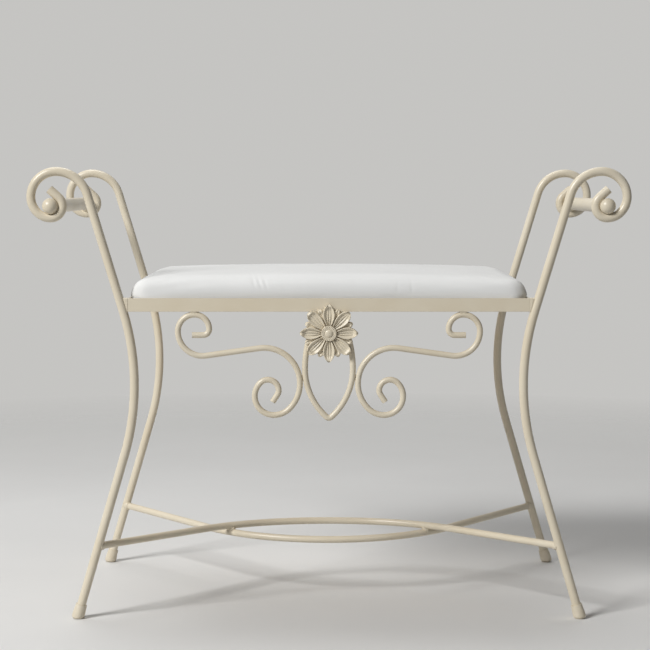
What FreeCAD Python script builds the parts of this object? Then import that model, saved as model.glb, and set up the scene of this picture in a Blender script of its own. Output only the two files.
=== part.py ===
"""Wrought iron bench with scroll arms, a scrolled apron and an upholstered seat.

Millimetres. Origin on the floor under the middle of the bench, X along the seat,
Z up, front at -Y. The right front corner is drawn and the others mirror it.
"""
import FreeCAD, Part
import os
from math import acos, asin, cos, degrees, radians, sin, sqrt, tan

from FreeCAD import Vector

# Seat frame of four mitred angle irons
frame_length = 538.0
frame_depth = 374.0
rail_underside = 417.0
rail_height = 18.0
rail_flange = 18.0
rail_wall = 3.0

# Legs, each one bar from foot to scroll
leg_diameter = 12.0
leg_setback = 3.0
leg_gap = 0.2
arm_lean = 16.6
leg_splay = 16.4
knee_radius = 340.0
arm_length = 163.0
scroll_top_radius = 43.0
scroll_outer_radius = 34.0
scroll_lower_radii = (29.0, 25.0)
curl_turn = 138.0
curl_tip = 16.0

# Arm bars lying in the curls, with domed plugs in their ends
bar_diameter = 19.0
bar_wall = 1.5
bar_gap = 0.3
bar_overhang = 3.3
cap_diameter = 21.0
cap_rim = 2.0
cap_height = 10.2
cap_stem = 12.0
cap_fit = 0.15

# Foot caps
foot_diameter = 17.0
foot_mouth_diameter = 15.0
foot_rim = 7.0
foot_height = 20.0
foot_floor = 6.0
foot_fit = 0.15
foot_edge = 4.0

# Crossing stretchers, the front one lying on the back one and both dipping towards the middle
stretcher_diameter = 10.0
stretcher_underside = 84.0
stretcher_radius = 239.0
stretcher_angle = 48.0
stretcher_dip = 2.0
stretcher_gap = 0.2

# Apron rods under the front rail
apron_diameter = 8.0
apron_gap = 0.2
drop_point_radius = 5.0
drop_point_angle = 42.3
drop_lower_radius = 88.0
drop_upper_radius = 150.0
drop_widest_below_rail = 77.0
apron_head_radius = 22.5
apron_head_return = 33.0
apron_rise = 8.0
apron_run = 72.0
apron_belly_radius = 48.0
apron_heel_radius = 30.0
apron_tail_radii = (25.5, 14.5)
apron_tail_hook = (10.0, 33.0, 12.0)
apron_head_hook = (19.5, 8.0, 15.0)

# Cast rosette in front of the rail and the drop
rosette_radius = 39.4
rosette_below_rail = 28.8
rosette_depth = 10.0
rosette_petals = 8
rosette_rim_height = 3.6
rosette_crest_radius = 27.0
rosette_crest_height = 7.4
rosette_eye_height = 6.2
backing_radius = 24.4
backing_thickness = 2.4
petal_root = 9.0
petal_width = 15.4
petal_rim = 1.7
petal_hollow = 1.9
rib_width = 1.3
leaf_radius = 33.5
leaf_width = 9.0
leaf_sunk = 2.4
boss_radius = 10.3
boss_height = 7.8
boss_edge = 0.8
bead_count = 24
bead_radius = 1.0
bead_inset = 1.0
bead_height = 7.6
dome_radius = 5.6

# Seat pad dropped into the frame
pad_gap = 0.8
pad_corner = 22.0
pad_draw_in = 1.2
pad_crown_top = 52.0
pad_crown_along = 7500.0
pad_crown_across = 3500.0
pad_edge_radius = 19.0
cover_thickness = 1.5
cover_hem = 30.0
board_thickness = 12.0
screw_diameter = 4.0
screw_head_diameter = 8.0
screw_head_height = 2.2
screw_bite = 9.0
screw_clearance = 0.25
screw_spread = 130.0

# Welds
weld_leg = 3.0
weld_half_length = 5.0
weld_root = 2.0
weld_edge = 0.5
weld_flare = 1.2
back_weld_radius = 3.5
back_weld_half_length = 3.5

leg_radius = leg_diameter / 2
leg_plane = frame_depth / 2 - leg_setback
rail_top = rail_underside + rail_height
rail_face = -frame_depth / 2
apron_plane = rail_face + apron_diameter / 2
across = Vector(1, 0, 0)
deep = Vector(0, 1, 0)
up = Vector(0, 0, 1)
middle = Vector(0, 0, 0)


# Drawing helpers
def upright(y):
    """Drawing plane facing the front: drawn points are (x, z)."""
    return lambda a, b: Vector(a, y, b)


def level(z):
    """Drawing plane lying flat: drawn points are (x, y)."""
    return lambda a, b: Vector(a, b, z)


class Path:
    """A centre line drawn like a pen: each run starts where the last one ended."""

    def __init__(self, start, heading, plane):
        self.a, self.b = start
        self.heading = heading
        self.plane = plane
        self.edges = []

    def aim(self, offset=0.0):
        angle = radians(self.heading + offset)
        return cos(angle), sin(angle)

    def point(self):
        return self.plane(self.a, self.b)

    def line(self, length):
        begin = self.point()
        da, db = self.aim()
        self.a += da * length
        self.b += db * length
        self.edges.append(Part.makeLine(begin, self.point()))

    def arc(self, radius, turn):
        begin = self.point()
        side = 90.0 if turn > 0 else -90.0
        na, nb = self.aim(side)
        ma, mb = self.aim(side + turn / 2)
        ea, eb = self.aim(side + turn)
        halfway = self.plane(self.a + (na - ma) * radius, self.b + (nb - mb) * radius)
        self.a += (na - ea) * radius
        self.b += (nb - eb) * radius
        self.heading += turn
        self.edges.append(Part.Arc(begin, halfway, self.point()).toShape())


def flip_x(shape):
    return shape.mirror(middle, across)


def flip_y(shape):
    return shape.mirror(middle, deep)


def joined(edges):
    return Part.Wire(Part.__sortEdges__(edges))


def rod(edges, diameter):
    """Round bar bent along the edges: straight lengths and turned bends joined end to end."""
    runs = []
    for edge in edges:
        start, end = edge.ParameterRange
        ring = Part.makeCircle(diameter / 2, edge.valueAt(start), edge.tangentAt(start))
        disc = Part.Face(Part.Wire(ring))
        if isinstance(edge.Curve, Part.Circle):
            runs.append(disc.revolve(edge.Curve.Center, edge.Curve.Axis, degrees(end - start)))
        else:
            runs.append(disc.extrude(edge.valueAt(end) - edge.valueAt(start)))
    return runs[0].multiFuse(runs[1:]).removeSplitter()


def block(low, high):
    size = high - low
    return Part.makeBox(size.x, size.y, size.z, low)


def turned(edges):
    """Solid turned about Z from an outline of edges drawn in (x, z)."""
    return Part.Face(joined(edges)).revolve(middle, up, 360)


def outline(points):
    closed = points + points[:1]
    return [Part.makeLine(Vector(a, 0, b), Vector(c, 0, d)) for (a, b), (c, d) in zip(closed, closed[1:])]


def dome_arc(radius, base, height):
    """Edge of a round cap that rises from a rim at the base to a height on the axis."""
    ball = (radius ** 2 + height ** 2) / (2 * height)
    centre = base + height - ball
    slope = acos((base - centre) / ball) / 2
    halfway = Vector(ball * sin(slope), 0, centre + ball * cos(slope))
    return Part.Arc(Vector(radius, 0, base), halfway, Vector(0, 0, base + height)).toShape()


def four_corners(piece):
    """Right front piece and its mirror images, by corner name."""
    return {
        "front_right": piece,
        "front_left": flip_x(piece),
        "back_right": flip_y(piece),
        "back_left": flip_x(flip_y(piece)),
    }


# Legs: the arm leaves the frame at the underside of the rail, where the knee begins
leg_at_rail = frame_length / 2 + leg_gap + leg_radius / cos(radians(arm_lean))
knee_drop = knee_radius * (sin(radians(arm_lean)) + sin(radians(leg_splay)))
knee_end_x = leg_at_rail + knee_radius * (cos(radians(arm_lean)) - cos(radians(leg_splay)))
knee_end_z = rail_underside - knee_drop
foot_x = knee_end_x + knee_end_z * tan(radians(leg_splay))
shin_length = knee_end_z / cos(radians(leg_splay)) - foot_floor
curl_radius = bar_diameter / 2 + bar_gap + leg_radius


def leg_axis_x(z):
    """Distance of the lower leg's centre line from the middle at one height."""
    return foot_x - z * tan(radians(leg_splay))


leg_start = (leg_axis_x(foot_floor * cos(radians(leg_splay))), foot_floor * cos(radians(leg_splay)))
leg_path = Path(leg_start, 90 + leg_splay, upright(-leg_plane))
leg_path.line(shin_length)
leg_path.arc(knee_radius, -(leg_splay + arm_lean))
leg_path.line(arm_length)
leg_path.arc(scroll_top_radius, arm_lean - 90)
leg_path.arc(scroll_outer_radius, -90)
for radius in scroll_lower_radii:
    leg_path.arc(radius, -45)
bar_x = leg_path.a
bar_z = leg_path.b + curl_radius
leg_path.arc(curl_radius, -curl_turn)
leg_path.line(curl_tip)
leg = rod(leg_path.edges, leg_diameter)
legs = four_corners(leg)

# Foot caps, turned on the leg's own axis and cut flat by the floor
foot_radius = foot_diameter / 2
foot_mouth = foot_mouth_diameter / 2
foot_bore = leg_radius + foot_fit
foot = turned(outline([
    (0, -foot_floor),
    (foot_radius, -foot_floor),
    (foot_radius, foot_rim),
    (foot_mouth, foot_height),
    (foot_bore, foot_height),
    (foot_bore, foot_floor),
    (0, foot_floor),
]))
foot.rotate(middle, deep, -leg_splay)
foot.translate(Vector(foot_x, -leg_plane, 0))
below_floor = block(Vector(0, -frame_depth, -foot_height), Vector(frame_length, frame_depth, 0))
foot = foot.cut(below_floor)
foot_rim_edges = [edge for edge in foot.Edges if edge.BoundBox.ZMax < 0.01]
foot = foot.makeFillet(foot_edge, foot_rim_edges)
feet = four_corners(foot)

# Arm bars and their plugs
bar_radius = bar_diameter / 2
bar_end = leg_plane + bar_overhang
bar_bore = bar_radius - bar_wall
bar_start = Vector(bar_x, -bar_end, bar_z)
arm_bar = Part.makeCylinder(bar_radius, 2 * bar_end, bar_start, deep)
arm_bar = arm_bar.cut(Part.makeCylinder(bar_bore, 2 * bar_end, bar_start, deep))

cap_radius = cap_diameter / 2
stem_radius = bar_bore - cap_fit
cap_dome = dome_arc(cap_radius, cap_rim, cap_height - cap_rim)
cap_points = [(0, cap_height), (0, -cap_stem), (stem_radius, -cap_stem), (stem_radius, 0), (cap_radius, 0),
              (cap_radius, cap_rim)]
arm_cap = turned(outline(cap_points)[:-1] + [cap_dome])
arm_cap.rotate(middle, across, 90)
arm_cap.translate(bar_start)
arm_caps = four_corners(arm_cap)


# Seat frame
def mitred_strip(length, face, width, height):
    """Flat strip along X whose ends are cut at 45 degrees towards its inner edge."""
    half = length / 2
    points = [(-half, face), (half, face), (half - width, face + width), (width - half, face + width)]
    corners = [Vector(x, y, rail_underside) for x, y in points]
    return Part.Face(Part.makePolygon(corners + corners[:1])).extrude(Vector(0, 0, height))


def angle_iron(length, face):
    wall = mitred_strip(length, face, rail_wall, rail_height)
    return wall.fuse(mitred_strip(length, face, rail_flange, rail_wall)).removeSplitter()


screw_inset = (rail_wall + rail_flange) / 2
screw_y = frame_depth / 2 - screw_inset
screw_x = frame_length / 2 - screw_inset
screw_spots = [(x, y) for x in (-screw_spread, screw_spread) for y in (-screw_y, screw_y)]
screw_spots += [(-screw_x, 0.0), (screw_x, 0.0)]
hole_radius = screw_diameter / 2 + screw_clearance
sink_radius = screw_head_diameter / 2 + screw_clearance
screw_holes = Part.makeCompound([
    Part.makeCylinder(hole_radius, rail_height, Vector(x, y, rail_underside)) for x, y in screw_spots
])
countersinks = Part.makeCompound([
    Part.makeCone(sink_radius, hole_radius, screw_head_height, Vector(x, y, rail_underside))
    for x, y in screw_spots
])
front_rail = angle_iron(frame_length, rail_face).cut(screw_holes).cut(countersinks)
side_rail = angle_iron(frame_depth, -frame_length / 2)
side_rail.rotate(middle, up, 90)
right_rail = side_rail.cut(screw_holes).cut(countersinks)

# Stretchers, drawn from leg to leg and coped to fit them
stretcher_bend = radians(stretcher_angle)


def dipped(shape, z):
    """Tips what starts level at the front legs down towards the middle."""
    shape.rotate(Vector(0, -leg_plane, z), across, -stretcher_dip)
    return shape


def stretcher(z, legs_met):
    reach = leg_axis_x(z)
    straight = (reach - stretcher_radius * sin(stretcher_bend)) / cos(stretcher_bend)
    path = Path((-reach, -leg_plane), stretcher_angle, level(z))
    path.line(straight)
    path.arc(stretcher_radius, -2 * stretcher_angle)
    bow = path.b - stretcher_radius * cos(stretcher_bend) + stretcher_radius
    path.line(straight)
    bar = dipped(rod(path.edges, stretcher_diameter), z)
    return bar.cut(legs_met), bow


stretcher_low = stretcher_underside + stretcher_diameter / 2
stretcher_high = stretcher_low + stretcher_diameter + stretcher_gap
front_legs = Part.makeCompound([legs["front_left"], legs["front_right"]])
front_stretcher, front_bow = stretcher(stretcher_high, front_legs)
low_stretcher, low_bow = stretcher(stretcher_low, front_legs)
back_stretcher = flip_y(low_stretcher)

# Drop: a rod folded to a point, its ends cut to the underside of the rail
apron_radius = apron_diameter / 2
drop_widest_z = rail_underside - drop_widest_below_rail
point_turn = radians(drop_point_angle)
# The upper bends run a little past the rail's underside, where they are cut
drop_upper_turn = degrees(asin((drop_widest_below_rail + apron_diameter) / drop_upper_radius))
drop_point_z = drop_widest_z - drop_lower_radius * cos(point_turn) - drop_point_radius * (1 - cos(point_turn))
drop_path = Path((0.0, drop_point_z), 0.0, upright(apron_plane))
drop_path.arc(drop_point_radius, drop_point_angle)
drop_path.arc(drop_lower_radius, 90 - drop_point_angle)
drop_belly_x = drop_path.a - drop_lower_radius
drop_path.arc(drop_upper_radius, drop_upper_turn)
drop_edges = drop_path.edges + [flip_x(edge) for edge in drop_path.edges]
above_rail_underside = block(Vector(-frame_length, -frame_depth, rail_underside),
                             Vector(frame_length, frame_depth, 2 * rail_underside))
apron_drop = rod(drop_edges, apron_diameter).cut(above_rail_underside)
drop_top_x = drop_belly_x + sqrt(drop_upper_radius ** 2 - drop_widest_below_rail ** 2)
drop_top_x += drop_lower_radius - drop_upper_radius

# Apron scroll: from its top under the rail, one way to the head's tip, the other to the tail's tip
head_top_z = rail_underside - apron_radius - apron_gap
tail = Path((0.0, head_top_z), 0.0, upright(apron_plane))
tail.arc(apron_head_radius, -90)
tail.arc(apron_head_return, -90 - apron_rise)
tail.line(apron_run)
belly_turn = 90 + apron_rise
tail.arc(apron_belly_radius, belly_turn)
belly_x = tail.a + apron_belly_radius
belly_z = tail.b
tail.arc(apron_belly_radius, 45)
tail.arc(apron_heel_radius, 45)
for radius in apron_tail_radii:
    tail.arc(radius, 135)
hook_radius, hook_turn, hook_tip = apron_tail_hook
tail.arc(hook_radius, hook_turn)
tail.line(hook_tip)

head = Path((0.0, head_top_z), 180.0, upright(apron_plane))
head_side, head_under, head_tip = apron_head_hook
head.arc(head_side, 90)
head.arc(head_under, 90)
head.line(head_tip)

# The scroll's belly rests against the drop, both being arcs about known centres
contact = drop_lower_radius + apron_belly_radius + apron_diameter + apron_gap
scroll_shift = drop_belly_x + sqrt(contact ** 2 - (belly_z - drop_widest_z) ** 2) - belly_x
apron_scroll = rod(tail.edges + head.edges, apron_diameter)
apron_scroll.translate(Vector(scroll_shift, 0, 0))
lean_in = (drop_lower_radius + apron_radius + apron_gap / 2) / contact
touch_x = drop_belly_x + (belly_x + scroll_shift - drop_belly_x) * lean_in
touch_z = drop_widest_z + (belly_z - drop_widest_z) * lean_in


# Rosette, drawn facing up about Z and then stood in front of the rail
def petal_prism(inner, outer, width, height, base=0.0):
    """Pointed oval between two radii along X."""
    half = (inner + outer) / 2
    begin = Vector(inner, 0, base)
    end = Vector(outer, 0, base)
    sides = [Part.Arc(begin, Vector(half, y, base), end).toShape() for y in (-width / 2, width / 2)]
    return Part.Face(joined(sides)).extrude(Vector(0, 0, height))


def cast_face(sunk):
    """Everything under the domed front of the petals, lowered by a depth."""
    rim = (rosette_radius + petal_rim, rosette_rim_height - sunk)
    crest = (rosette_crest_radius, rosette_crest_height - sunk)
    eye = (boss_radius - petal_rim, rosette_eye_height - sunk)
    front = Part.Arc(*[Vector(a, 0, b) for a, b in (rim, crest, eye)]).toShape()
    points = [eye, (0, eye[1]), (0, -rosette_depth), (rim[0], -rosette_depth), rim]
    return turned(outline(points)[:-1] + [front])


def ring_of(shape, count, offset=0.0):
    copies = []
    for index in range(count):
        copy = shape.copy()
        copy.rotate(middle, up, offset + index * 360.0 / count)
        copies.append(copy)
    return copies


petal = petal_prism(petal_root, rosette_radius, petal_width, rosette_depth).common(cast_face(0.0))
hollow = petal_prism(petal_root + 2 * petal_rim, rosette_radius - 2 * petal_rim,
                     petal_width - 2 * petal_rim, rosette_depth)
ribs = block(Vector(0, -rib_width / 2, 0), Vector(rosette_radius, rib_width / 2, rosette_depth))
hollow = hollow.cut(cast_face(petal_hollow)).cut(ribs)
petal = petal.cut(hollow)
leaf = petal_prism(petal_root, leaf_radius, leaf_width, rosette_depth).common(cast_face(leaf_sunk))
backing = Part.makeCylinder(backing_radius, backing_thickness)
boss = Part.makeCylinder(boss_radius, boss_height)
boss_rim = [edge for edge in boss.Edges if edge.BoundBox.ZMin > boss_height / 2]
boss = boss.makeFillet(boss_edge, boss_rim)
bead = Part.makeSphere(bead_radius, Vector(boss_radius - bead_radius - bead_inset, 0, bead_height))
dome = Part.makeSphere(dome_radius, Vector(0, 0, rosette_depth - dome_radius))
petals = ring_of(petal, rosette_petals)
leaves = ring_of(leaf, rosette_petals, 180.0 / rosette_petals)
beads = ring_of(bead, bead_count)
rosette = backing.multiFuse(petals + leaves + beads + [boss, dome])
rosette = rosette.cut(Part.makeCylinder(rosette_radius, rosette_depth, Vector(0, 0, -rosette_depth)))
rosette.rotate(middle, across, 90)
rosette.translate(Vector(0, rail_face, rail_underside - rosette_below_rail))

# Seat pad: a crowned form with sides drawn in between its corners
pad_half_length = frame_length / 2 - rail_wall - pad_gap
pad_half_depth = frame_depth / 2 - rail_wall - pad_gap
pad_underside = rail_underside + rail_wall
pad_top = rail_underside + pad_crown_top
corner_x = pad_half_length - pad_corner
corner_y = pad_half_depth - pad_corner
draw = radians(pad_draw_in)


def pad_plan(inset, z):
    corner = pad_corner - inset
    long_side = corner_x / sin(draw) - corner
    short_side = corner_y / sin(draw) - corner
    start = -corner_y - corner * cos(draw) + long_side * (1 - cos(draw))
    path = Path((0.0, start), 0.0, level(z))
    path.arc(long_side, -pad_draw_in)
    path.arc(corner, 90 + 2 * pad_draw_in)
    path.arc(short_side, -pad_draw_in)
    half = path.edges + [flip_x(edge) for edge in path.edges]
    return Part.Face(joined(half + [flip_y(edge) for edge in half]))


def crowned_pad(inset, underside):
    """The pad's form, smaller by an inset on every side."""
    sides = pad_plan(inset, underside).extrude(Vector(0, 0, 2 * pad_crown_top))
    top = pad_top - inset
    along = pad_crown_along - inset
    spine = top - pad_crown_across + inset
    end_x = 1.2 * pad_half_length
    end_z = top - along + sqrt(along ** 2 - end_x ** 2)
    ridge = Part.Arc(Vector(-end_x, 0, end_z), Vector(0, 0, top), Vector(end_x, 0, end_z)).toShape()
    section = [(end_x, end_z), (end_x, spine), (-end_x, spine), (-end_x, end_z)]
    barrel = Part.Face(joined(outline(section)[:-1] + [ridge])).revolve(Vector(0, 0, spine), across, 360)
    # The seam of the turned barrel goes to its far side, away from the pad's top
    barrel.rotate(Vector(0, 0, spine), across, 180)
    pad = sides.common(barrel).removeSplitter()
    rim = [edge for edge in pad.Edges if edge.BoundBox.ZMin > underside + 1 and edge.BoundBox.ZLength < 15]
    return pad.makeFillet(pad_edge_radius - inset, rim)


board_underside = pad_underside + cover_thickness
board_top = board_underside + board_thickness
stuffing = crowned_pad(cover_thickness, board_underside)
hem = Vector(pad_half_length - cover_hem, pad_half_depth - cover_hem, 0)
hem_opening = block(Vector(0, 0, pad_underside) - hem, Vector(0, 0, board_underside) + hem)
seat_cover = crowned_pad(0.0, pad_underside).cut(stuffing).cut(hem_opening).cut(screw_holes)
screw_length = rail_wall + cover_thickness + screw_bite
screw_shanks = Part.makeCompound([
    Part.makeCylinder(screw_diameter / 2, screw_length, Vector(x, y, rail_underside)) for x, y in screw_spots
])
under_foam = block(Vector(-frame_length, -frame_depth, 0), Vector(frame_length, frame_depth, board_top))
seat_board = stuffing.common(under_foam).cut(screw_shanks)
seat_foam = stuffing.cut(under_foam)


def seat_screw(x, y):
    """Countersunk screw, its head flush with the underside of the rail."""
    shank_radius = screw_diameter / 2
    points = [(0, 0), (screw_head_diameter / 2, 0), (shank_radius, screw_head_height),
              (shank_radius, screw_length), (0, screw_length)]
    screw = turned(outline(points))
    screw.translate(Vector(x, y, rail_underside))
    return screw


seat_screws = Part.makeCompound([seat_screw(x, y) for x, y in screw_spots])


# Welds, each filled in between two pieces and cut to fit them
def arm_axis_x(z):
    return leg_at_rail + (z - rail_underside) * tan(radians(arm_lean))


wedge_points = [
    (frame_length / 2, rail_underside),
    (arm_axis_x(rail_underside), rail_underside),
    (arm_axis_x(rail_top), rail_top),
    (frame_length / 2, rail_top),
]
frame_weld = Part.Face(joined(outline(wedge_points))).extrude(Vector(0, leg_setback + weld_half_length, 0))
frame_weld.translate(Vector(0, rail_face, 0))
frame_weld = frame_weld.cut(leg)
frame_welds = Part.makeCompound(list(four_corners(frame_weld).values()))


def stretcher_weld(z, bar):
    """Fillet round the right end of a stretcher that starts at the front legs."""
    reach = leg_axis_x(z)
    aim = Vector(-cos(stretcher_bend), sin(stretcher_bend), 0)
    begin = Vector(reach, -leg_plane, z)
    narrow = stretcher_diameter / 2 + weld_edge
    cone = Part.makeCone(narrow + weld_flare, narrow, leg_radius + weld_leg, begin, aim)
    return dipped(cone, z).cut(bar).cut(leg)


front_weld = stretcher_weld(stretcher_high, front_stretcher)
back_weld = flip_y(stretcher_weld(stretcher_low, low_stretcher))
crossing_drop = front_bow / 2 + low_bow / 2
crossing_x = stretcher_radius * sin(acos(1 - crossing_drop / stretcher_radius))
crossing_fall = leg_plane * tan(radians(stretcher_dip))
crossing = Part.makeCylinder(weld_half_length, stretcher_high - stretcher_low,
                             Vector(crossing_x, (front_bow - low_bow) / 2, stretcher_low - crossing_fall))
crossing = crossing.cut(front_stretcher).cut(back_stretcher)
right_welds = [front_weld, back_weld, crossing]
stretcher_welds = Part.makeCompound(right_welds + [flip_x(weld) for weld in right_welds])


def under_rail_weld(begin_x, end_x, bar):
    low = Vector(begin_x, rail_face + weld_edge, rail_underside - weld_leg / 2)
    high = Vector(end_x, rail_face + apron_diameter - weld_edge, rail_underside)
    return block(low, high).cut(bar)


scroll_top_weld = under_rail_weld(scroll_shift - weld_half_length, scroll_shift + weld_half_length,
                                  apron_scroll)
drop_top_weld = under_rail_weld(drop_top_x, drop_top_x + apron_radius + weld_leg, apron_drop)
# Behind the rods, so that it doesn't show from the front
drop_weld = Part.makeCylinder(back_weld_radius, 2 * back_weld_half_length,
                              Vector(touch_x, apron_plane + weld_leg, touch_z - back_weld_half_length))
drop_weld = drop_weld.cut(apron_scroll).cut(apron_drop)
right_welds = [scroll_top_weld, drop_top_weld, drop_weld]
apron_welds = Part.makeCompound(right_welds + [flip_x(weld) for weld in right_welds])

behind_leg = leg_radius - weld_root - leg_plane
fillet_points = [(bar_radius, behind_leg), (bar_radius, behind_leg + weld_root + weld_leg),
                 (bar_radius + weld_leg, behind_leg)]
arm_weld = Part.Face(joined(outline(fillet_points))).revolve(middle, up, 60)
arm_weld.rotate(middle, up, 60)
arm_weld.rotate(middle, across, -90)
arm_weld.translate(Vector(bar_x, 0, bar_z))
arm_weld = arm_weld.cut(leg)
arm_welds = Part.makeCompound(list(four_corners(arm_weld).values()))

pieces = {
    "left_arm_bar": flip_x(arm_bar),
    "right_arm_bar": arm_bar,
    "front_rail": front_rail,
    "back_rail": flip_y(front_rail),
    "left_rail": flip_x(right_rail),
    "right_rail": right_rail,
    "front_stretcher": front_stretcher,
    "back_stretcher": back_stretcher,
    "left_apron_scroll": flip_x(apron_scroll),
    "right_apron_scroll": apron_scroll,
    "apron_drop": apron_drop,
    "rosette": rosette,
    "seat_board": seat_board,
    "seat_foam": seat_foam,
    "seat_cover": seat_cover,
    "seat_screws": seat_screws,
    "frame_welds": frame_welds,
    "stretcher_welds": stretcher_welds,
    "apron_welds": apron_welds,
    "arm_welds": arm_welds,
}
for corner, shape in legs.items():
    pieces[corner + "_leg"] = shape
for corner, shape in feet.items():
    pieces[corner + "_foot"] = shape
for corner, shape in arm_caps.items():
    pieces[corner + "_arm_cap"] = shape

os.makedirs("parts", exist_ok=True)
for name, shape in pieces.items():
    shape.exportStep("parts/" + name + ".step")
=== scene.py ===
"""Looks of the wrought iron bench: camera, studio, paint, seat cushion, rosette and weld beads.

Metres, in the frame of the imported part: floor at z = 0, X along the seat, front at -Y.
"""

from math import cos, exp, pi, radians, sin, sqrt

import bmesh
import bpy
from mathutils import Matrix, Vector, noise


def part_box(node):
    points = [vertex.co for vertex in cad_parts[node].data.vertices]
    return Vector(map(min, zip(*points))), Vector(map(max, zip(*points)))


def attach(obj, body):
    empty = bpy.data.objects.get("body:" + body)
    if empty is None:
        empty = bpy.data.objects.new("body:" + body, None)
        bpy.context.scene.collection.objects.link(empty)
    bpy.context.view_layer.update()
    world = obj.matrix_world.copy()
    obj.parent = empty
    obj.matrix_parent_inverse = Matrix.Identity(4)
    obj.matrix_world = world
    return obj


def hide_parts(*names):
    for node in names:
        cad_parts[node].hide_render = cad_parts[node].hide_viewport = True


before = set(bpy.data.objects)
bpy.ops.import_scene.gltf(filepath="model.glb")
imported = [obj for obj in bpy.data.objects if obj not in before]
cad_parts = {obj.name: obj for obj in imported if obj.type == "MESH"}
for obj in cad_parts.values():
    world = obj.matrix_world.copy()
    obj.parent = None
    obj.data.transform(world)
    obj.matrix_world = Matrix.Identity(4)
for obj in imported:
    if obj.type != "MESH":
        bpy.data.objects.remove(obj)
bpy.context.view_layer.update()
scene = bpy.context.scene
mm = 0.001

# Camera, fitted to the photograph's converging legs
camera_place = (-0.0053, -2.5758, 0.5846)
camera_pitch = 4.438
camera_lens = 99.19
camera_sensor = 36.0

# Soft lamps, aimed at the middle of the bench: place, size, power in watts
lamp_aim = Vector((0, 0, 0.35))
lamps = {
    "key": (Vector((-3.2, -2.9, 3.4)), 1.5, 246.0),
    "fill": (Vector((2.6, -2.6, 1.5)), 1.8, 4.0),
    "top": (Vector((-0.4, 0.9, 2.9)), 1.6, 32.0),
}

# Studio floor, which fades out to the backdrop, and the dim light of the room
floor_radius = 12.0
floor_corners = 96
floor_fade_start = 0.9
floor_fade_end = 2.5
floor_patches = 2.2
floor_roughness = 0.75
floor_specular = 0.2
room_tint = (0.95, 0.97, 1.0)
room_strength = 0.055

# Colours, linear
cream_light = (0.735, 0.665, 0.53)
cream_deep = (0.69, 0.61, 0.465)
# Painted shade for the paint and for the rosette casting: darker creams laid where the enamel is hemmed in,
# in hollows, corners and joints
cream_painted_shade = (0.54, 0.46, 0.335)
cast_painted_shade = (0.45, 0.37, 0.255)
ivory = (0.72, 0.65, 0.52)
ivory_deep = (0.66, 0.585, 0.45)
cloth_white = (0.77, 0.77, 0.757)
cloth_shade = (0.735, 0.735, 0.722)
ply_light = (0.62, 0.45, 0.27)
ply_dark = (0.46, 0.30, 0.16)
zinc_light = (0.70, 0.70, 0.68)
zinc_dark = (0.52, 0.52, 0.51)
floor_light = (0.77, 0.765, 0.75)
floor_dark = (0.73, 0.725, 0.71)
backdrop = (0.56, 0.555, 0.54)

# Range that noise mostly keeps to, and the sockets of a Mix node that mixes colours
noise_low = 0.3
noise_high = 0.7
mix_amount = 0
mix_first = 6
mix_second = 7
mix_result = 2

# Smoothing of the cushion and the weld beads
soften_factor = 0.5

# Cushion: its mesh, its rounding, and the pressure that blows it up
underside_band = 0.5 * mm
cushion_voxel = 4 * mm
cushion_rounding = 10
cushion_pressure = 0.6
cushion_frames = 20
cushion_cap = 1.5 * mm
held_above_rail = 1 * mm

# Cover over the foam, and its lap over the side rails at the corners
cover_fit = 2.0 * mm
cover_over_foam = 1.2 * mm
cover_swell = 5 * mm
lap_reach = 3.6 * mm
lap_height = 16 * mm
lap_sharpness = 11
hem_width = 30 * mm
hem_cut = 2 * mm
unevenness = 0.35 * mm
unevenness_span = 55 * mm

# Creases pressed into the front of the cushion: x, z, slant, half length, depth
crease_width = 2.6 * mm
crease_reach = 25 * mm
creases = [
    (-101 * mm, 456 * mm, 0.35, 7 * mm, 0.45 * mm),
    (-93 * mm, 455 * mm, 0.4, 8 * mm, 0.6 * mm),
    (-85 * mm, 454 * mm, 0.4, 7 * mm, 0.5 * mm),
    (92 * mm, 448 * mm, -0.1, 9 * mm, 0.3 * mm),
    (111 * mm, 449 * mm, 0.1, 10 * mm, 0.35 * mm),
]

# Blades of the rosette, its petals and leaves: u runs from root to tip, 0 to 1, and v across, -1 to 1
blade_rows = 30
blade_columns = 28
blade_root = 8.0 * mm
least_half_width = 0.02 * mm
merge_distance = 0.001 * mm

# Outline of a petal: its widest place leans to the tip, and a smaller taper gives a blunter end
petal_count = 8
petal_half_width = 8.5 * mm
petal_flare = 0.16
petal_flare_power = 6
pointed_lean = 1.1
pointed_taper = 0.75
blunt_lean = 1.3
blunt_taper = 0.55

# Relief of a petal
petal_body = 5.4 * mm
petal_arch = 1.2 * mm
petal_arch_lean = 0.8
petal_droop = 0.9 * mm
petal_edge = 0.88
petal_end = 0.94
rim_height = 1.3 * mm
rim_place = 0.84
rim_width = 0.13
curl_height = 2.2 * mm
curl_place = 0.9
curl_width = 0.08
dish_depth = 0.8 * mm
groove_depth = 3.2 * mm
groove_width = 0.12
groove_places = (-0.4, 0.0, 0.4)
groove_end = 0.88
groove_fade = 0.6

# Outline and relief of a leaf
leaf_reach = 34.5 * mm
leaf_half_width = 4.4 * mm
leaf_root_share = 0.45
leaf_tip = 0.75
leaf_body = 3.0 * mm
leaf_edge = 0.6
leaf_end = 0.88
leaf_curl = 1.9 * mm
leaf_curl_place = 0.88
leaf_curl_width = 0.12
vein_depth = 0.9 * mm
vein_width = 0.18

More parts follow.
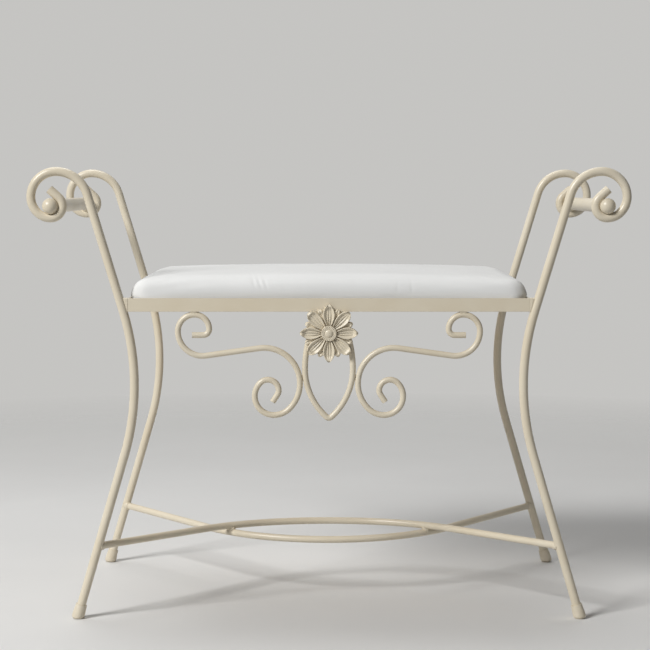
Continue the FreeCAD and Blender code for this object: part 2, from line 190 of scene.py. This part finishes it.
# Boss of the rosette: radius and height along the collar and the channel, then the dome and the beads
boss_spokes = 72
boss_outline = [
    (10.3 * mm, 0.0 * mm),
    (10.3 * mm, 7.0 * mm),
    (10.05 * mm, 7.6 * mm),
    (9.5 * mm, 7.9 * mm),
    (9.2 * mm, 7.6 * mm),
    (8.2 * mm, 7.4 * mm),
    (7.2 * mm, 7.6 * mm),
    (6.5 * mm, 7.9 * mm),
    (6.0 * mm, 7.6 * mm),
]
dome_rings = 7
dome_radius = 5.6 * mm
dome_base = 7.2 * mm
dome_rise = 2.7 * mm
bead_count = 24
bead_ring = 8.2 * mm
bead_height = 7.3 * mm
bead_radius = 0.85 * mm

# Weld beads
weld_voxel = 0.7 * mm
weld_rounding = 3
weld_lump = 0.35 * mm
weld_lump_span = 2.5 * mm
weld_swell = 1.2


# Shader helpers
class Shader:
    """One procedural material, built node by node."""

    def __init__(self, name):
        self.material = bpy.data.materials.new(name)
        self.material.use_nodes = True
        self.tree = self.material.node_tree
        self.surface = self.tree.nodes["Principled BSDF"]
        self.place = self.node("ShaderNodeTexCoord").outputs["Object"]

    def node(self, kind, inputs=None, **settings):
        made = self.tree.nodes.new(kind)
        for name, value in settings.items():
            setattr(made, name, value)
        for name, value in (inputs or {}).items():
            self.feed(made.inputs[name], value)
        return made

    def feed(self, socket, value):
        if isinstance(value, bpy.types.NodeSocket):
            self.tree.links.new(value, socket)
        elif isinstance(value, tuple) and socket.type == "RGBA":
            socket.default_value = value + (1.0,)
        else:
            socket.default_value = value

    def finish(self, inputs):
        for name, value in inputs.items():
            self.feed(self.surface.inputs[name], value)
        return self.material

    def speckle(self, scale, detail=2.0, place=None):
        """Smooth noise, its scale in features per metre."""
        inputs = {"Vector": place or self.place, "Scale": scale, "Detail": detail}
        return self.node("ShaderNodeTexNoise", inputs).outputs["Fac"]

    def spread(self, value, low=0.0, high=1.0, start=noise_low, end=noise_high):
        """A value that goes from start to end, stretched between low and high."""
        inputs = {"Value": value, "From Min": start, "From Max": end, "To Min": low, "To Max": high}
        return self.node("ShaderNodeMapRange", inputs).outputs["Result"]

    def blend(self, amount, first, second):
        mix = self.node("ShaderNodeMix", data_type="RGBA")
        for index, value in ((mix_amount, amount), (mix_first, first), (mix_second, second)):
            self.feed(mix.inputs[index], value)
        return mix.outputs[mix_result]

    def bump(self, height, distance, strength, below=None):
        inputs = {"Height": height, "Distance": distance, "Strength": strength}
        if below is not None:
            inputs["Normal"] = below
        return self.node("ShaderNodeBump", inputs).outputs["Normal"]

    def maths(self, operation, first, second):
        return self.node("ShaderNodeMath", {0: first, 1: second}, operation=operation).outputs[0]


def painted(name, painted_shade, recess_depth, closed, clear):
    """Brushed cream enamel on iron, with painted shade: it takes a darker colour where it is hemmed in by
    nearby surfaces.

    With open space around it up to the closed share the painted shade is full, and from the clear share it is
    gone.
    """
    patch_scale = 18.0
    recess_samples = 8
    edge_radius = 0.7 * mm
    edge_samples = 4
    brush_scale = 150.0
    brush_depth = 0.05 * mm
    peel_scale = 900.0
    peel_depth = 0.02 * mm
    relief = 0.3
    gloss_scale = 60.0
    smoothest = 0.29
    roughest = 0.36
    shader = Shader(name)
    patches = shader.spread(shader.speckle(patch_scale))
    colour = shader.blend(patches, cream_light, cream_deep)
    # Painted shade: the ambient occlusion darkens the cream in hollows, corners and joints, where shade falls
    space = {"Distance": recess_depth}
    hollow = shader.node("ShaderNodeAmbientOcclusion", space, samples=recess_samples, only_local=True)
    open_air = shader.spread(hollow.outputs["AO"], start=closed, end=clear)
    colour = shader.blend(open_air, painted_shade, colour)
    soft_edge = shader.node("ShaderNodeBevel", {"Radius": edge_radius}, samples=edge_samples)
    brushed = shader.bump(shader.speckle(brush_scale), brush_depth, relief, soft_edge.outputs["Normal"])
    peel = shader.bump(shader.speckle(peel_scale, detail=1.0), peel_depth, relief, brushed)
    gloss = shader.spread(shader.speckle(gloss_scale), smoothest, roughest)
    return shader.finish({"Base Color": colour, "Roughness": gloss, "Normal": peel})


def moulded_plastic():
    patch_scale = 90.0
    grain_scale = 1500.0
    grain_depth = 0.03 * mm
    relief = 0.5
    gloss_scale = 300.0
    smoothest = 0.42
    roughest = 0.55
    shader = Shader("ivory_plastic")
    colour = shader.blend(shader.spread(shader.speckle(patch_scale)), ivory, ivory_deep)
    grain = shader.bump(shader.speckle(grain_scale, detail=1.0), grain_depth, relief)
    gloss = shader.spread(shader.speckle(gloss_scale), smoothest, roughest)
    return shader.finish({"Base Color": colour, "Roughness": gloss, "Normal": grain})


def woven_cotton():
    """Plain weave drawn across whichever two axes lie in the surface."""
    shade_scale = 9.0
    thread_scale = 420.0
    thread_waver = 1.2
    weave_depth = 0.06 * mm
    slack_scale = 70.0
    slack_depth = 0.35 * mm
    relief = 0.35
    roughness = 0.85
    sheen = 0.12
    shader = Shader("white_cloth")
    shade = shader.spread(shader.speckle(shade_scale, detail=3.0))
    colour = shader.blend(shade, cloth_white, cloth_shade)
    normal = shader.node("ShaderNodeNewGeometry").outputs["Normal"]
    facing = shader.node("ShaderNodeSeparateXYZ", {"Vector": normal})
    wave = {"Vector": shader.place, "Scale": thread_scale, "Distortion": thread_waver, "Detail": 1.0}
    threads = 0.0
    for axis in "XYZ":
        band = shader.node("ShaderNodeTexWave", wave, bands_direction=axis).outputs["Fac"]
        square = shader.maths("POWER", facing.outputs[axis], 2.0)
        lies_in = shader.maths("SUBTRACT", 1.0, square)
        threads = shader.maths("ADD", threads, shader.maths("MULTIPLY", band, lies_in))
    slack = shader.bump(shader.speckle(slack_scale, detail=3.0), slack_depth, relief)
    weave = shader.bump(threads, weave_depth, relief, slack)
    look = {"Base Color": colour, "Roughness": roughness, "Normal": weave, "Sheen Weight": sheen}
    return shader.finish(look)


def plywood():
    grain_scale = (6.0, 160.0, 40.0)
    grain_depth = 0.2 * mm
    relief = 0.5
    smoothest = 0.6
    roughest = 0.75
    shader = Shader("plywood")
    stretched = shader.node("ShaderNodeMapping", {"Vector": shader.place, "Scale": grain_scale})
    grain = shader.speckle(1.0, detail=6.0, place=stretched.outputs["Vector"])
    colour = shader.blend(shader.spread(grain), ply_light, ply_dark)
    rough = shader.spread(grain, smoothest, roughest)
    fibres = shader.bump(grain, grain_depth, relief)
    return shader.finish({"Base Color": colour, "Roughness": rough, "Normal": fibres})


def zinc():
    patch_scale = 400.0
    gloss_scale = 900.0
    smoothest = 0.28
    roughest = 0.42
    shader = Shader("zinc_screws")
    colour = shader.blend(shader.spread(shader.speckle(patch_scale)), zinc_light, zinc_dark)
    gloss = shader.spread(shader.speckle(gloss_scale), smoothest, roughest)
    return shader.finish({"Base Color": colour, "Metallic": 1.0, "Roughness": gloss})


# Object and mesh helpers
def add_object(name, data):
    made = bpy.data.objects.new(name, data)
    scene.collection.objects.link(made)
    return made


def copy_of(node, name):
    return add_object(name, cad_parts[node].data.copy())


def mesh_from(bm, name):
    mesh = bpy.data.meshes.new(name)
    bm.to_mesh(mesh)
    bm.free()
    return mesh


def finish_piece(piece, material):
    piece.data.materials.clear()
    piece.data.materials.append(material)
    for face in piece.data.polygons:
        face.use_smooth = True
    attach(piece, "root")


def bake(piece):
    """Works a piece's modifiers into its mesh."""
    graph = bpy.context.evaluated_depsgraph_get()
    mesh = bpy.data.meshes.new_from_object(piece.evaluated_get(graph))
    piece.modifiers.clear()
    piece.data = mesh


def remesh(piece, voxel):
    modifier = piece.modifiers.new("remesh", "REMESH")
    modifier.mode = "VOXEL"
    modifier.voxel_size = voxel
    bake(piece)


def soften(piece, steps, group=""):
    modifier = piece.modifiers.new("soften", "SMOOTH")
    modifier.vertex_group = group
    modifier.factor = soften_factor
    modifier.iterations = steps
    bake(piece)


def ridge(offset, width):
    """Bell shaped ridge, 1 at its crest."""
    return exp(-(offset / width) ** 2)


def rolled(distance, start):
    """Falls from 1 to 0 like a quarter round between the start and 1."""
    over = max(0.0, (distance - start) / (1.0 - start))
    return sqrt(max(0.0, 1.0 - over * over))


def turns(count):
    """Angles spread evenly around a circle."""
    return [2 * pi * k / count for k in range(count)]


# Seat cushion
def fatten(cushion, rail_top):
    """Lays the cover's thickness over the foam, and laps it over the side rails at the corners."""
    foam_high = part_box("seat_foam")[1]
    outward = [vertex.normal.copy() for vertex in cushion.data.vertices]
    for vertex, normal in zip(cushion.data.vertices, outward):
        over = vertex.co.z - rail_top
        rise = min(1.0, max(0.0, over / cover_swell))
        aside = Vector((normal.x, normal.y, 0))
        vertex.co += aside * (cover_fit * (1 - rise)) + normal * (cover_over_foam * rise)
        if over > held_above_rail:
            end = vertex.co.x / foam_high.x
            corner = (vertex.co.y / foam_high.y) ** 2
            vertex.co.x += lap_reach * end * abs(end) ** lap_sharpness * corner * ridge(over, lap_height)


def round_off(cushion, rail_top):
    """Rounds the edges of the stuffing that stand above the frame."""
    above = cushion.vertex_groups.new(name="above")
    above.add([v.index for v in cushion.data.vertices if v.co.z > rail_top + cover_swell], 1.0, "REPLACE")
    soften(cushion, cushion_rounding, above.name)


def inflate(cushion, rail_top):
    """Blows the cover up like cloth over stuffing, held still where the frame surrounds it."""
    start = [vertex.co.copy() for vertex in cushion.data.vertices]
    held = cushion.vertex_groups.new(name="held")
    held.add([i for i, co in enumerate(start) if co.z < rail_top + held_above_rail], 1.0, "REPLACE")
    cloth = cushion.modifiers.new("cloth", "CLOTH")
    cloth.settings.vertex_group_mass = held.name
    cloth.settings.use_pressure = True
    cloth.settings.uniform_pressure_force = cushion_pressure
    cloth.settings.effector_weights.gravity = 0.0
    for step in range(1, cushion_frames + 1):
        scene.frame_set(step)
    bake(cushion)
    scene.frame_set(1)
    for vertex, home in zip(cushion.data.vertices, start):
        moved = vertex.co - home
        if moved.length > cushion_cap:
            vertex.co = home + moved * (cushion_cap / moved.length)


def crease(cushion, rail_top):
    """Presses the creases and a slight unevenness into the cloth, on a finer mesh near the creases."""
    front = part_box("front_rail")[0].y
    spots = [Vector((x, front, z)) for x, z, slant, half, depth in creases]

    def by_a_crease(co):
        return any((co - spot).length < crease_reach for spot in spots)

    bm = bmesh.new()
    bm.from_mesh(cushion.data)
    near = [edge for edge in bm.edges if by_a_crease(edge.verts[0].co)]
    bmesh.ops.subdivide_edges(bm, edges=near, cuts=1, smooth=1.0, use_grid_fill=True)
    bm.normal_update()
    for vertex in bm.verts:
        co = vertex.co
        if co.z < rail_top + cover_swell:
            continue
        push = unevenness * noise.noise(co / unevenness_span)
        if co.y < front / 2:
            for x, z, slant, half, depth in creases:
                along = (co.z - z) / half
                aside = (co.x - x + slant * (co.z - z)) / crease_width
                push -= depth * ridge(along, 1.0) * ridge(aside, 1.0)
        vertex.co = co + vertex.normal * push
    bm.to_mesh(cushion.data)
    bm.free()


def open_hem(cushion, cover_low, cover_high, board_low):
    """Leaves the board bare below, inside the folded hem."""
    edge = Vector((hem_width, hem_width, 0))
    low = cover_low + edge - Vector((0, 0, hem_width))
    high = cover_high - edge
    high.z = board_low.z + hem_cut
    bm = bmesh.new()
    bmesh.ops.create_cube(bm, size=1.0)
    for vertex in bm.verts:
        vertex.co = Vector(end if side > 0 else start for side, start, end in zip(vertex.co, low, high))
    cutter = add_object("hem_opening", mesh_from(bm, "hem_opening"))
    modifier = cushion.modifiers.new("hem", "BOOLEAN")
    modifier.object = cutter
    modifier.operation = "DIFFERENCE"
    bake(cushion)
    bpy.data.objects.remove(cutter)


def seat_cushion(material):
    """Cushion from the foam's shape, drawn down to the cover's underside and dressed in cloth."""
    cover_low, cover_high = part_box("seat_cover")
    foam_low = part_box("seat_foam")[0]
    rail_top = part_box("front_rail")[1].z
    cushion = copy_of("seat_foam", "seat_cushion")
    for vertex in cushion.data.vertices:
        if vertex.co.z < foam_low.z + underside_band:
            vertex.co.z = cover_low.z
    remesh(cushion, cushion_voxel)
    fatten(cushion, rail_top)
    round_off(cushion, rail_top)
    inflate(cushion, rail_top)
    cushion.modifiers.new("smooth", "SUBSURF").levels = 1
    bake(cushion)
    crease(cushion, rail_top)
    open_hem(cushion, cover_low, cover_high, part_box("seat_board")[0])
    finish_piece(cushion, material)
    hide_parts("seat_cover", "seat_foam")


# Rosette
def petal_side(u, lean, taper):
    """Half width of a petal, with a flare at its root."""
    swell = max(0.0, sin(pi * u ** lean)) ** taper
    return petal_half_width * (swell + petal_flare * (1 - u) ** petal_flare_power)


def pointed_side(u):
    return petal_side(u, pointed_lean, pointed_taper)


def blunt_side(u):
    return petal_side(u, blunt_lean, blunt_taper)


def petal_height(u, v):
    """Front of a petal over its back: an arched body with a rim, a curled tip, a dish and grooves."""
    body = petal_body + petal_arch * sin(pi * u ** petal_arch_lean) - petal_droop * u
    rim = rim_height * ridge(abs(v) - rim_place, rim_width) * sin(0.5 * pi * u)
    curl = curl_height * ridge(u - curl_place, curl_width)
    dish = dish_depth * (1 - v * v) ** 2 * sin(pi * u)
    fade = max(0.0, 1 - u / groove_end) ** groove_fade
    grooves = groove_depth * fade * sum(ridge(v - place, groove_width) for place in groove_places)
    return (body + rim + curl - dish - grooves) * rolled(abs(v), petal_edge) * rolled(u, petal_end)


def leaf_side(u):
    widening = leaf_root_share + (1 - leaf_root_share) * sin(0.5 * pi * u)
    return leaf_half_width * widening * rolled(u, leaf_tip)


def leaf_height(u, v):
    """Front of a small curled leaf over its back, with a vein along its middle."""
    crest = leaf_body + leaf_curl * ridge(u - leaf_curl_place, leaf_curl_width)
    vein = vein_depth * ridge(v, vein_width) * u
    return (crest - vein) * rolled(abs(v), leaf_edge) * rolled(u, leaf_end)


def add_blade(bm, angle, reach, side, height, at):
    """Closed body of one petal or leaf, its back flat."""
    along = Vector((sin(angle), 0, cos(angle)))
    aside = Vector((cos(angle), 0, -sin(angle)))
    front = []
    back = []
    for i in range(blade_rows + 1):
        u = sin(0.5 * pi * i / blade_rows)
        middle_line = at + along * (blade_root + (reach - blade_root) * u)
        front.append([])
        back.append([])
        for j in range(blade_columns + 1):
            v = sin(pi * (j / blade_columns - 0.5))
            flat = middle_line + aside * (v * max(side(u), least_half_width))
            front[i].append(bm.verts.new(flat - Vector((0, height(u, v), 0))))
            back[i].append(bm.verts.new(flat))
    for i in range(blade_rows):
        for j in range(blade_columns):
            bm.faces.new((front[i][j], front[i + 1][j], front[i + 1][j + 1], front[i][j + 1]))
            bm.faces.new((back[i][j], back[i][j + 1], back[i + 1][j + 1], back[i + 1][j]))
    for j in range(blade_columns):
        bm.faces.new((front[0][j], front[0][j + 1], back[0][j + 1], back[0][j]))
    blade = [vertex for row in front + back for vertex in row]
    bmesh.ops.remove_doubles(bm, verts=blade, dist=merge_distance)


def around(at, radius, turn, height):
    """Place on a circle around the rosette's axis, the height measured from its back."""
    return at + Vector((radius * sin(turn), -height, radius * cos(turn)))


def add_boss(bm, at):
    """Turned centre: a rounded collar, a channel for the beads and a dome."""
    outline = list(boss_outline)
    for step in range(dome_rings):
        lift = 0.5 * pi * step / dome_rings
        outline.append((dome_radius * cos(lift), dome_base + dome_rise * sin(lift)))
    rings = []
    for radius, height in outline:
        rings.append([bm.verts.new(around(at, radius, turn, height)) for turn in turns(boss_spokes)])
    for lower, upper in zip(rings, rings[1:]):
        for k in range(boss_spokes):
            following = (k + 1) % boss_spokes
            bm.faces.new((lower[k], upper[k], upper[following], lower[following]))
    bm.faces.new(rings[0])
    top = bm.verts.new(around(at, 0, 0, dome_base + dome_rise))
    for k in range(boss_spokes):
        bm.faces.new((rings[-1][k], top, rings[-1][(k + 1) % boss_spokes]))
    for turn in turns(bead_count):
        ball = bmesh.ops.create_icosphere(bm, subdivisions=2, radius=bead_radius)
        bmesh.ops.translate(bm, vec=around(at, bead_ring, turn, bead_height), verts=ball["verts"])


def cast_rosette(material):
    """Eight petals, pointed and blunt in turn, with a leaf after each and a boss over their roots."""
    low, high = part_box("rosette")
    at = (low + high) / 2
    at.y = high.y
    reach = (high.x - low.x) / 2
    bm = bmesh.new()
    for k, turn in enumerate(turns(petal_count)):
        side = blunt_side if k % 2 else pointed_side
        add_blade(bm, turn, reach, side, petal_height, at)
        add_blade(bm, turn + pi / petal_count, leaf_reach, leaf_side, leaf_height, at)
    add_boss(bm, at)
    bmesh.ops.recalc_face_normals(bm, faces=bm.faces)
    rosette = add_object("rosette_casting", mesh_from(bm, "rosette_casting"))
    finish_piece(rosette, material)
    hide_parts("rosette")


# Weld beads
def weld_beads(node, material):
    """Rough beads of weld metal in place of a node's plain fillets."""
    beads = copy_of(node, node.replace("welds", "weld_beads"))
    remesh(beads, weld_voxel)
    soften(beads, weld_rounding)
    normals = [vertex.normal.copy() for vertex in beads.data.vertices]
    for vertex, normal in zip(beads.data.vertices, normals):
        vertex.co += normal * (weld_lump * (weld_swell + noise.noise(vertex.co / weld_lump_span)))
    finish_piece(beads, material)
    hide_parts(node)


# Studio
def photo_camera():
    camera = add_object("photo_camera", bpy.data.cameras.new("photo_camera"))
    camera.data.lens = camera_lens
    camera.data.sensor_width = camera_sensor
    camera.location = camera_place
    camera.rotation_euler = (radians(90 - camera_pitch), 0, 0)
    scene.camera = camera


def studio_floor():
    """Pale round floor that turns clear with the distance from the bench."""
    bm = bmesh.new()
    bmesh.ops.create_circle(bm, cap_ends=True, segments=floor_corners, radius=floor_radius)
    floor = add_object("floor", mesh_from(bm, "floor"))
    shader = Shader("studio_floor")
    patches = shader.spread(shader.speckle(floor_patches, detail=5.0))
    colour = shader.blend(patches, floor_light, floor_dark)
    look = {"Base Color": colour, "Roughness": floor_roughness, "Specular IOR Level": floor_specular}
    shader.finish(look)
    reach = shader.node("ShaderNodeVectorMath", {0: shader.place}, operation="LENGTH").outputs["Value"]
    fade = shader.spread(reach, start=floor_fade_start, end=floor_fade_end)
    clear = shader.node("ShaderNodeBsdfTransparent").outputs[0]
    mix = shader.node("ShaderNodeMixShader", {0: fade, 1: shader.surface.outputs[0], 2: clear})
    shader.tree.links.new(mix.outputs[0], shader.tree.nodes["Material Output"].inputs["Surface"])
    floor.data.materials.append(shader.material)


def room():
    """Dim even light, and a plain backdrop for the camera and for reflections."""
    world = bpy.data.worlds.new("studio")
    scene.world = world
    world.use_nodes = True
    tree = world.node_tree
    light = tree.nodes["Background"]
    light.inputs["Color"].default_value = room_tint + (1.0,)
    light.inputs["Strength"].default_value = room_strength
    seen = tree.nodes.new("ShaderNodeBackground")
    seen.inputs["Color"].default_value = backdrop + (1.0,)
    path = tree.nodes.new("ShaderNodeLightPath")
    shown = path.outputs["Is Camera Ray"]
    for ray in ("Is Glossy Ray", "Is Transmission Ray"):
        either = tree.nodes.new("ShaderNodeMath")
        either.operation = "MAXIMUM"
        tree.links.new(shown, either.inputs[0])
        tree.links.new(path.outputs[ray], either.inputs[1])
        shown = either.outputs[0]
    mix = tree.nodes.new("ShaderNodeMixShader")
    tree.links.new(shown, mix.inputs[0])
    tree.links.new(light.outputs[0], mix.inputs[1])
    tree.links.new(seen.outputs[0], mix.inputs[2])
    tree.links.new(mix.outputs[0], tree.nodes["World Output"].inputs["Surface"])


def softbox(name, place, size, power):
    lamp = bpy.data.lights.new(name, "AREA")
    lamp.size = size
    lamp.energy = power
    box = add_object(name, lamp)
    box.location = place
    box.rotation_euler = (lamp_aim - place).to_track_quat("-Z", "Y").to_euler()
    box.visible_camera = False


scene.view_settings.view_transform = "Standard"
photo_camera()
studio_floor()
room()
for name, (place, size, power) in lamps.items():
    softbox(name, place, size, power)

# Both enamels take painted shade where nearby surfaces hem them in: the paint within 5 mm, the casting within
# 2 mm
cream_paint = painted("cream_paint", cream_painted_shade, recess_depth=5 * mm, closed=0.25, clear=0.85)
cream_casting = painted("cream_casting", cast_painted_shade, recess_depth=2 * mm, closed=0.1, clear=0.5)
finishes = {
    "cream_paint": cream_paint,
    "cream_casting": cream_casting,
    "ivory_plastic": moulded_plastic(),
    "plywood": plywood(),
    "white_cloth": woven_cotton(),
    "zinc_screws": zinc(),
}
finishes["foam"] = finishes["white_cloth"]
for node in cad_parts.values():
    for slot in node.material_slots:
        slot.material = finishes[slot.material.name]

seat_cushion(finishes["white_cloth"])
cast_rosette(cream_casting)
for node in ("frame_welds", "stretcher_welds", "apron_welds", "arm_welds"):
    weld_beads(node, cream_paint)
